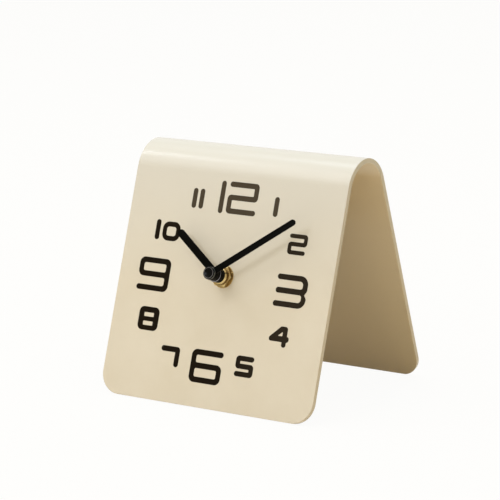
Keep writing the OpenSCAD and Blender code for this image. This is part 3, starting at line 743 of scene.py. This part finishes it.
def zigzag(left, right, bars, ends, width, corner, inner):
    """A two: top, middle and low bars joined at the right above and at the left below."""
    side = width / 2
    end = side * ROUND_SHARE
    top, middle, low = bars
    return [[(ends[0], top + side, end), (right, top + side, corner), (right, middle - side, corner),
             (left + width, middle - side, inner), (left + width, low + side, inner),
             (ends[1], low + side, end), (ends[1], low - side, end), (left, low - side, corner),
             (left, middle + side, corner), (right - width, middle + side, inner),
             (right - width, top - side, inner), (ends[0], top - side, end)]]


def mirrored(outlines):
    """The same outlines turned left to right about their own middle."""
    xs = [corner[0] for outline in outlines for corner in outline]
    both = min(xs) + max(xs)
    return [[(both - x, y, radius) for x, y, radius in outline] for outline in outlines]


def upturned(outlines):
    """The same outlines turned half round about their own middle."""
    ys = [corner[1] for outline in outlines for corner in outline]
    both = min(ys) + max(ys)
    return [[(x, both - y, radius) for x, y, radius in outline] for outline in mirrored(outlines)]


def looped(left, right, bars, width, corner, inner):
    """A nine: a closed loop above, and a tail down the right side and along the bottom."""
    side = width / 2
    end = side * ROUND_SHARE
    top, middle, low = bars
    line = [(left, top + side, corner), (right, top + side, corner), (right, low - side, corner),
            (left, low - side, end), (left, low + side, end), (right - width, low + side, inner),
            (right - width, middle - side, inner), (left, middle - side, corner)]
    hole = [(left + width, top - side, inner), (right - width, top - side, inner),
            (right - width, middle + side, inner), (left + width, middle + side, inner)]
    return [line, hole]


def box(left, right, low, high, corner):
    """The outline of an upright box with rounded corners."""
    return [(left, low, corner), (right, low, corner), (right, high, corner), (left, high, corner)]


def numerals():
    """The twelve numerals as outlines."""
    three = [[(31.0, 68.0, 1.25), (46.9, 68.0, 4.2), (46.9, 61.2, 2.5), (45.6, 59.3, 0.4),
              (46.85, 57.6, 1.6), (46.9, 52.8, 4.2), (29.5, 52.8, 1.25),
              (29.5, 55.35, 1.25), (44.3, 55.35, 1.7), (44.3, 59.1, 1.2), (29.9, 59.1, 1.25),
              (29.9, 61.7, 1.25), (44.3, 61.7, 1.2), (44.3, 65.45, 1.7), (29.9, 65.45, 1.25),
              (29.9, 68.0, 1.25)]]
    four = [[(40.15, 43.7, 1.3), (40.15, 39.15, 0.2), (41.35, 39.15, 1.2), (41.35, 36.4, 1.2),
             (40.15, 36.4, 0.2), (40.15, 33.95, 1.2), (37.7, 33.95, 1.2), (37.7, 36.4, 0.2),
             (30.5, 36.4, 1.1), (30.5, 38.2, 0.9), (36.4, 43.7, 1.2)],
            [(37.6, 41.2, 0.15), (37.6, 39.15, 0.15), (35.1, 39.15, 0.15)]]
    seven = [[(-28.1, 26.6, 1.19), (-17.5, 26.6, 1.6), (-17.5, 17.2, 1.19), (-19.9, 17.2, 1.19),
              (-19.9, 24.2, 0.3), (-28.1, 24.2, 1.19)]]
    eight = [box(-44.3, -32.8, 32.6, 43.75, 2.5), box(-41.5, -35.7, 39.0, 41.2, 0.5),
             box(-41.5, -35.7, 34.8, 37.0, 0.5)]
    ten = (bar(-41.8, 76.6, 86.3, 2.45)
           + [box(-38.9, -28.9, 76.6, 85.75, 3.4), box(-36.65, -31.15, 78.85, 83.5, 1.3)])
    twelve = (bar(-8.2, 92.75, 108.25, 2.4)
              + zigzag(-5.0, 11.8, (107.1, 100.8, 94.25), (-4.6, 11.5), 2.4, 1.9, 0.5))
    return {
        "1": bar(22.7, 94.0, 103.3, 2.4),
        "2": zigzag(32.6, 42.75, (86.2, 82.4, 78.45), (32.9, 42.2), 1.85, 1.6, 0.4),
        "3": three,
        "4": four,
        "5": mirrored(zigzag(14.75, 24.75, (26.15, 22.45, 18.75), (14.95, 24.75), 2.3, 1.7, 0.3)),
        "6": upturned(looped(-10.2, 7.3, (26.05, 19.3, 12.95), 2.5, 2.8, 0.9)),
        "7": seven,
        "8": eight,
        "9": looped(-48.8, -30.7, (66.3, 59.7, 53.0), 2.6, 2.9, 1.0),
        "10": ten,
        "11": bar(-23.6, 93.8, 103.3, 2.4) + bar(-19.6, 93.8, 103.3, 2.4),
        "12": twelve,
    }


def inside(outline, other):
    """Whether an outline's first corner is within the other's reach, so that it is a hole in it."""
    x, y = outline[0][:2]
    xs, ys = [[corner[k] for corner in other] for k in (0, 1)]
    return min(xs) < x < max(xs) and min(ys) < y < max(ys)


def print_numeral(name, outlines, swell):
    """A flat filled curve, made a thin skin of ink on the face."""
    curve = bpy.data.curves.new("numeral_" + name, "CURVE")
    curve.dimensions = "2D"
    curve.fill_mode = "BOTH"
    curve.extrude = INK_T / 2
    for k, outline in enumerate(outlines):
        hole = any(inside(outline, other) for other in outlines[:k])
        spots = rounded(outline, -swell if hole else swell)
        spline = curve.splines.new("POLY")
        spline.points.add(len(spots) - 1)
        for point, spot in zip(spline.points, spots):
            point.co = (spot.x, spot.y, 0, 1)
        spline.use_cyclic_u = True
    make_active(place_new("numeral_" + name, curve))
    bpy.ops.object.convert(target="MESH")
    piece = bpy.context.object
    edit()
    weld(INK_WELD)
    leave()
    piece.data.transform(Matrix.Translation((0, dial_bottom, INK_T / 2 - INK_SUNK)))
    coat(piece, dial_ink)
    finish(piece, "stand", "hand_paint")


for numeral, numeral_outlines in numerals().items():
    print_numeral(numeral, numeral_outlines, INK_SWELLS.get(numeral, INK_SWELL))


# Fixing of the movement on the dial

THREAD_PITCH = 0.6
THREAD_DEPTH = 0.32
THREAD_STEPS = 48
THREAD_FLAT_SHARE = 0.12
THREAD_SPARE_TURNS = 5
BUSH_BORE_R = 2.6
BUSH_FLANGE_T = 0.8
BUSH_FLANGE_RIM = 2.0
BUSH_CHAMFER = 0.3
STOCK_ROOM = 0.05
CUT_OVER = 0.5


def threaded_bush():
    """The bush: one tooth of the thread is screwed up its length, then the bush is turned from it."""
    low, high = dial_box("threaded_bush")
    case_at = dial_box("case_front")[1].z
    flange_r = (high.x - low.x) / 2
    bush_r = flange_r - BUSH_FLANGE_RIM
    flat = THREAD_PITCH * THREAD_FLAT_SHARE
    slope = THREAD_PITCH / 2 - flat
    thread = square("turned_bush")
    edit()
    everything()
    bpy.ops.mesh.merge(type="CENTER")
    bpy.ops.transform.translate(value=(bush_r - THREAD_DEPTH, 0, case_at - 2 * THREAD_PITCH))
    for step in ((THREAD_DEPTH, 0, slope), (0, 0, 2 * flat), (-THREAD_DEPTH, 0, slope)):
        extrude(step)
    leave()
    turns = int((high.z - case_at) / THREAD_PITCH) + THREAD_SPARE_TURNS
    apply(thread, "SCREW", angle=2 * pi, screw_offset=THREAD_PITCH, iterations=turns, steps=THREAD_STEPS,
          render_steps=THREAD_STEPS, use_merge_vertices=True, merge_threshold=WELD)
    edit()
    everything()
    bpy.ops.mesh.remove_doubles(threshold=WELD)
    for spot, side in ((case_at - THREAD_PITCH / 3, 1), (high.z + THREAD_PITCH / 2, -1)):
        everything()
        bpy.ops.mesh.bisect(plane_co=(0, 0, spot), plane_no=(0, 0, side), use_fill=True, clear_inner=True)
    weld()
    leave()
    stock = cylinder("stock", bush_r + STOCK_ROOM, case_at - THREAD_PITCH / 6, high.z)
    edit()
    pick(lambda spot, _along: spot.z > high.z - NEAR, "EDGE")
    bpy.ops.mesh.bevel(offset=BUSH_CHAMFER, segments=1)
    leave()
    combine(thread, stock, "INTERSECT")
    shank = cylinder("shank", bush_r - THREAD_DEPTH / 2, low.z, case_at)
    combine(thread, shank, "UNION")
    combine(thread, cylinder("flange", flange_r, low.z, low.z + BUSH_FLANGE_T), "UNION")
    combine(thread, cylinder("bore", BUSH_BORE_R, low.z - CUT_OVER, high.z + CUT_OVER), "DIFFERENCE")
    bpy.ops.object.shade_smooth_by_angle(angle=SHARP)
    coat(thread, materials["brass"])
    finish(thread, "stand", "brass", "threaded_bush")


def softened_node(node, name, body, width):
    """A node with its sharp edges broken, as a real piece's are."""
    piece = merged_copy(node, name)
    soften(piece, width, 2)
    coat(piece, materials[slot_of[node]])
    finish(piece, body, slot_of[node], node)


threaded_bush()
softened_node("fixing_nut", "hexagon_nut", "stand", 0.12)
softened_node("face_washer", "flat_washer", "stand", 0.12)
softened_node("panel_gasket", "soft_gasket", "stand", 0.2)


# Hands

HUB_EDGE = 0.3
BLADE_T = 0.8
BLADE_EDGE = 0.16
BLADE_SHARP = radians(40)

# The ring of worn paint with a painted highlight on a hub's rounded edge: from its top, down and outward
# by these shares of the edge
RING_OUT_SHARE = 0.8
RING_DOWN_SHARE = 0.7

HOUR_HUB_R = 3.6
HOUR_BORE_R = 2.55
HOUR_ROOT = 2.75
HOUR_W = 3.7
HOUR_RISE = 1.0
MINUTE_HUB_R = 3.2
MINUTE_BORE_R = 1.6
MINUTE_ROOT = 2.2
MINUTE_W = 3.1
MINUTE_TIP_SHARE = 0.92
MINUTE_DROP = 0.1


def pointing(node, hub_r):
    """A hand's direction, clockwise from twelve, and its reach, from the vertices beyond its hub."""
    turn = DIAL.inverted()
    spots = [(turn @ vertex.co).xy for vertex in nodes[node].data.vertices]
    beyond = [spot for spot in spots if spot.length > hub_r * 3]
    middle = sum(beyond, Vector((0, 0))) / len(beyond)
    return atan2(middle.x, middle.y), max(spot.length for spot in spots)


def hand(name, node, body, hub_r, bore_r, root, width, tip_share, blade_low, ringed):
    """A round hub, drilled, with a flat blade that ends in a round tip."""
    low, high = dial_box(node)
    direction, reach = pointing(node, hub_r)
    hub = cylinder(name, hub_r, low.z, high.z)
    edit()
    pick(lambda spot, _along: spot.z > high.z - NEAR, "EDGE")
    bpy.ops.mesh.bevel(offset=HUB_EDGE, segments=4)
    leave()
    combine(hub, cylinder("bore", bore_r, low.z - CUT_OVER, high.z + CUT_OVER), "DIFFERENCE")
    blade = square("blade")
    edit()
    everything()
    bpy.ops.transform.resize(value=(width, reach - root, 1))
    bpy.ops.transform.translate(value=(0, (reach + root) / 2, blade_low))
    pick(lambda spot, _normal: spot.y > reach - NEAR, "VERT")
    bpy.ops.transform.resize(value=(tip_share, 1, 1))
    bpy.ops.mesh.bevel(affect="VERTICES", offset=width * tip_share / 2 * ROUND_SHARE, segments=12)
    pick(lambda _spot, _normal: True)
    extrude((0, 0, BLADE_T))
    weld()
    leave()
    apply(blade, "BEVEL", width=BLADE_EDGE, segments=3, limit_method="ANGLE", angle_limit=BLADE_SHARP)
    blade.data.transform(Matrix.Rotation(-direction, 4, "Z"))
    combine(hub, blade, "UNION")
    bpy.ops.object.shade_smooth_by_angle(angle=SMOOTH)
    coat(hub, materials["hand_paint"], worn_edge_highlight)
    # The hour hub's rounded edge gets its ring of worn paint with a painted highlight
    if ringed:
        flat_r = hub_r - HUB_EDGE
        mark_ring(hub, flat_r, flat_r + RING_OUT_SHARE * HUB_EDGE, high.z - RING_DOWN_SHARE * HUB_EDGE,
             high.z - WELD)
    finish(hub, body, "hand_paint", node)


hand("hour_bar", "hour_hand", "hour", HOUR_HUB_R, HOUR_BORE_R, HOUR_ROOT, HOUR_W, 1.0,
     dial_box("hour_hand")[0].z + HOUR_RISE, True)
hand("minute_bar", "minute_hand", "minute", MINUTE_HUB_R, MINUTE_BORE_R, MINUTE_ROOT, MINUTE_W,
     MINUTE_TIP_SHARE, dial_box("minute_hand")[1].z - MINUTE_DROP - BLADE_T, False)


CAP_EDGE = 0.35
CAP_LIP_R = 2.6
CAP_DISH_R = 2.4
CAP_DISH = 0.4
CAP_BORE_L = 0.8
DISH_RINGS = 4
DISH_MIDDLE_R = 0.02


def dished_cap():
    """The cap on the minute arbor: a turned button with a rounded rim and a dished face."""
    low, high = dial_box("cap_nut")
    radius = (high.x - low.x) / 2
    cap = cylinder("dished_cap", radius, low.z, high.z)
    edit()
    pick(lambda spot, _along: spot.z > high.z - NEAR, "EDGE")
    bpy.ops.mesh.bevel(offset=CAP_EDGE, segments=5)
    pick(lambda spot, normal: normal.z > FACING and spot.xy.length < NEAR)
    for step in (radius - CAP_EDGE - CAP_LIP_R, CAP_LIP_R - CAP_DISH_R):
        bpy.ops.mesh.inset(thickness=step)
    for ring in range(DISH_RINGS):
        outer = CAP_DISH_R * (1 - ring / DISH_RINGS)
        inner = CAP_DISH_R * (1 - (ring + 1) / DISH_RINGS)
        drop = CAP_DISH * (outer ** 2 - inner ** 2) / CAP_DISH_R ** 2
        extrude((0, 0, -drop))
        shrink = max(inner, DISH_MIDDLE_R) / outer
        bpy.ops.transform.resize(value=(shrink, shrink, 1))
    pick(lambda spot, normal: normal.z < -FACING and spot.xy.length < NEAR)
    bpy.ops.mesh.inset(thickness=radius - MINUTE_BORE_R)
    extrude((0, 0, CAP_BORE_L))
    leave()
    bpy.ops.object.shade_smooth_by_angle(angle=SMOOTH)
    coat(cap, materials["cap_gloss"], cap_ring_highlight, cap_side_sheen)
    # A ring of painted highlight at the dish's lip, and a painted reflection in grey on the side wall
    mark_ring(cap, CAP_DISH_R, CAP_LIP_R, high.z - NEAR, high.z + NEAR)
    for face in cap.data.polygons:
        if abs(face.normal.z) < 1 - FACING and face.center.xy.length > CAP_LIP_R:
            face.material_index = 2
    finish(cap, "minute", "cap_gloss", "cap_nut")


dished_cap()


# Movement behind the dial

softened_node("case_front", "movement_case", "stand", 0.22)
softened_node("case_back", "movement_cover", "stand", 0.2)
softened_node("setting_knob", "fluted_knob", "knob", 0.12)

BUTTON_R = 2.75
BUTTON_L = 1.3
CELL_EDGE = 0.45
CELL_LIP = 0.5
CELL_RECESS = 0.25


def dry_cell():
    """The cell: a filmed jacket rolled over steel ends, with a stepped button at its plus end."""
    low, high = dial_box("battery_cell")
    radius = (high.y - low.y) / 2
    body_high = high.x - BUTTON_L
    end_r = radius - CELL_EDGE - CELL_LIP
    cell = cylinder("dry_cell", radius, low.x, body_high, sides=72)
    edit()
    pick(lambda spot, along: abs(along.z) < NEAR
         and (spot.z > body_high - NEAR or spot.z < low.x + NEAR), "EDGE")
    bpy.ops.mesh.bevel(offset=CELL_EDGE, segments=4)
    pick(lambda spot, normal: abs(normal.z) > FACING and spot.xy.length < NEAR)
    bpy.ops.mesh.inset(thickness=CELL_LIP)
    pick(lambda spot, normal: normal.z > FACING and spot.xy.length < NEAR)
    extrude((0, 0, -CELL_RECESS))
    bpy.ops.mesh.inset(thickness=end_r - BUTTON_R)
    extrude((0, 0, BUTTON_L + CELL_RECESS))
    pick(lambda spot, along: abs(along.z) < NEAR and spot.z > high.x - NEAR, "EDGE")
    bpy.ops.mesh.bevel(offset=CELL_EDGE, segments=4)
    pick(lambda spot, normal: normal.z < -FACING and spot.xy.length < NEAR)
    extrude((0, 0, CELL_RECESS))
    leave()
    coat(cell, materials["cell_jacket"], materials["contact_plate"])
    for face in cell.data.polygons:
        face.material_index = int(face.center.xy.length < end_r + NEAR)
    bpy.ops.object.shade_smooth_by_angle(angle=SMOOTH)
    cell.data.transform(Matrix.Translation((0, (low.y + high.y) / 2, (low.z + high.z) / 2))
                        @ Matrix.Rotation(pi / 2, 4, "Y"))
    finish(cell, "battery", "cell_jacket", "battery_cell")


dry_cell()


# Backdrop, light and camera

LENS_MM = 178.29
SENSOR_MM = 36
VIEW_REACH = 50
CAMERA_AT = Vector((0.64212, -0.97372, 0.325262))
CAMERA_TURN = radians(33.643)
CAMERA_RISE = radians(12.491)
CAMERA_ROLL = radians(-0.907)

FLOOR_W = 12
FLOOR_D = 6
SWEEP_R = 1.2
SWEEP_STEPS = 16
WALL_H = 4
FLOOR_ALBEDO = (0.84, 0.74, 0.58, 1)

# What the camera sees of floor and sky: this white, with a small share of the light and shadow on it
BACKGROUND_WHITE = linear(254, 254, 253)
LIT_SHARE = 0.04

WORLD_LIGHT = 0.62
WORLD_TINT = (1, 0.95, 0.87, 1)

# Name, turn and rise in degrees, distance and size in metres, watts and colour
LAMPS = (("front", 9, 29, 1.6, 0.35, 4.5, (0.8, 0.87, 1.0)),
         ("side", 74, 48, 1.6, 0.3, 3.0, (0.85, 0.9, 1.0)),
         ("window", 32, 50, 1.6, 0.7, 4.2, (1, 1, 1)),
         ("overhead", 150, 78, 1.5, 1.1, 14.6, (0.74, 0.86, 1.0)))


def backdrop():
    """A floor that curves up into a wall far behind the clock, seen as white but lit as cream."""
    sweep = square("backdrop")
    edit()
    everything()
    bpy.ops.transform.resize(value=(FLOOR_W, FLOOR_D, 1))
    pick(lambda spot, _along: spot.y > FLOOR_D / 2 - NEAR, "EDGE")
    bpy.ops.mesh.spin(steps=SWEEP_STEPS, angle=-pi / 2, center=(0, FLOOR_D / 2, SWEEP_R), axis=(1, 0, 0))
    pick(lambda spot, _along: spot.z > SWEEP_R - NEAR, "EDGE")
    extrude((0, 0, WALL_H))
    leave()
    bpy.ops.object.shade_smooth()
    material, tree, shader, _place = new_material("pale_paper", Roughness=0.9, Specular_IOR_Level=0.1)
    shader.inputs["Base Color"].default_value = FLOOR_ALBEDO
    path = tree.nodes.new("ShaderNodeLightPath")
    seen = maths(tree, "MAXIMUM", path.outputs["Is Camera Ray"], path.outputs["Is Glossy Ray"])
    seen = maths(tree, "MAXIMUM", seen, path.outputs["Is Transmission Ray"])
    white = tree.nodes.new("ShaderNodeEmission")
    white.inputs["Color"].default_value = BACKGROUND_WHITE
    mix = tree.nodes.new("ShaderNodeMixShader")
    tree.links.new(maths(tree, "MULTIPLY", seen, 1 - LIT_SHARE), mix.inputs["Fac"])
    tree.links.new(shader.outputs[0], mix.inputs[1])
    tree.links.new(white.outputs[0], mix.inputs[2])
    tree.links.new(mix.outputs[0], tree.nodes["Material Output"].inputs["Surface"])
    coat(sweep, material)


def sky():
    """Dim even light from all round, seen as white by the camera."""
    world = bpy.data.worlds.new("pale_room")
    world.use_nodes = True
    bpy.context.scene.world = world
    tree = world.node_tree
    soft = tree.nodes["Background"]
    soft.inputs["Color"].default_value = WORLD_TINT
    soft.inputs["Strength"].default_value = WORLD_LIGHT
    path = tree.nodes.new("ShaderNodeLightPath")
    white = tree.nodes.new("ShaderNodeBackground")
    white.inputs["Color"].default_value = BACKGROUND_WHITE
    mix = tree.nodes.new("ShaderNodeMixShader")
    tree.links.new(path.outputs["Is Camera Ray"], mix.inputs["Fac"])
    tree.links.new(soft.outputs[0], mix.inputs[1])
    tree.links.new(white.outputs[0], mix.inputs[2])
    tree.links.new(mix.outputs[0], tree.nodes["World Output"].inputs["Surface"])


def lamp(name, turn, rise, distance, size, watts, colour):
    """A square soft lamp at a turn left of the front and a rise, that faces the clock."""
    turn, rise = radians(turn), radians(rise)
    aim = Vector((-sin(turn) * cos(rise), -cos(turn) * cos(rise), sin(rise)))
    light = bpy.data.lights.new(name, "AREA")
    light.size = size
    light.energy = watts
    light.color = colour
    middle = Vector((0, 0, cad_box[1][2] / 2))
    place_new(name, light).matrix_world = (Matrix.Translation(middle + distance * aim)
                                           @ aim.to_track_quat("Z", "Y").to_matrix().to_4x4())


def camera():
    """The camera that was fitted to the photo's outline, with its turn to the right of the front."""
    camera_data = bpy.data.cameras.new("camera")
    camera_data.lens = LENS_MM
    camera_data.sensor_width = SENSOR_MM
    camera_data.clip_end = VIEW_REACH
    piece = place_new("camera", camera_data)
    back = Vector((sin(CAMERA_TURN) * cos(CAMERA_RISE), -cos(CAMERA_TURN) * cos(CAMERA_RISE),
                   sin(CAMERA_RISE)))
    right = (-back).cross(Vector((0, 0, 1))).normalized()
    over = right.cross(-back)
    right, over = (cos(CAMERA_ROLL) * right + sin(CAMERA_ROLL) * over,
                   -sin(CAMERA_ROLL) * right + cos(CAMERA_ROLL) * over)
    piece.matrix_world = Matrix.Translation(CAMERA_AT) @ Matrix((right, over, back)).transposed().to_4x4()
    bpy.context.scene.camera = piece


backdrop()
sky()
camera()
for values in LAMPS:
    lamp(*values)

bpy.context.scene.view_settings.view_transform = "Standard"
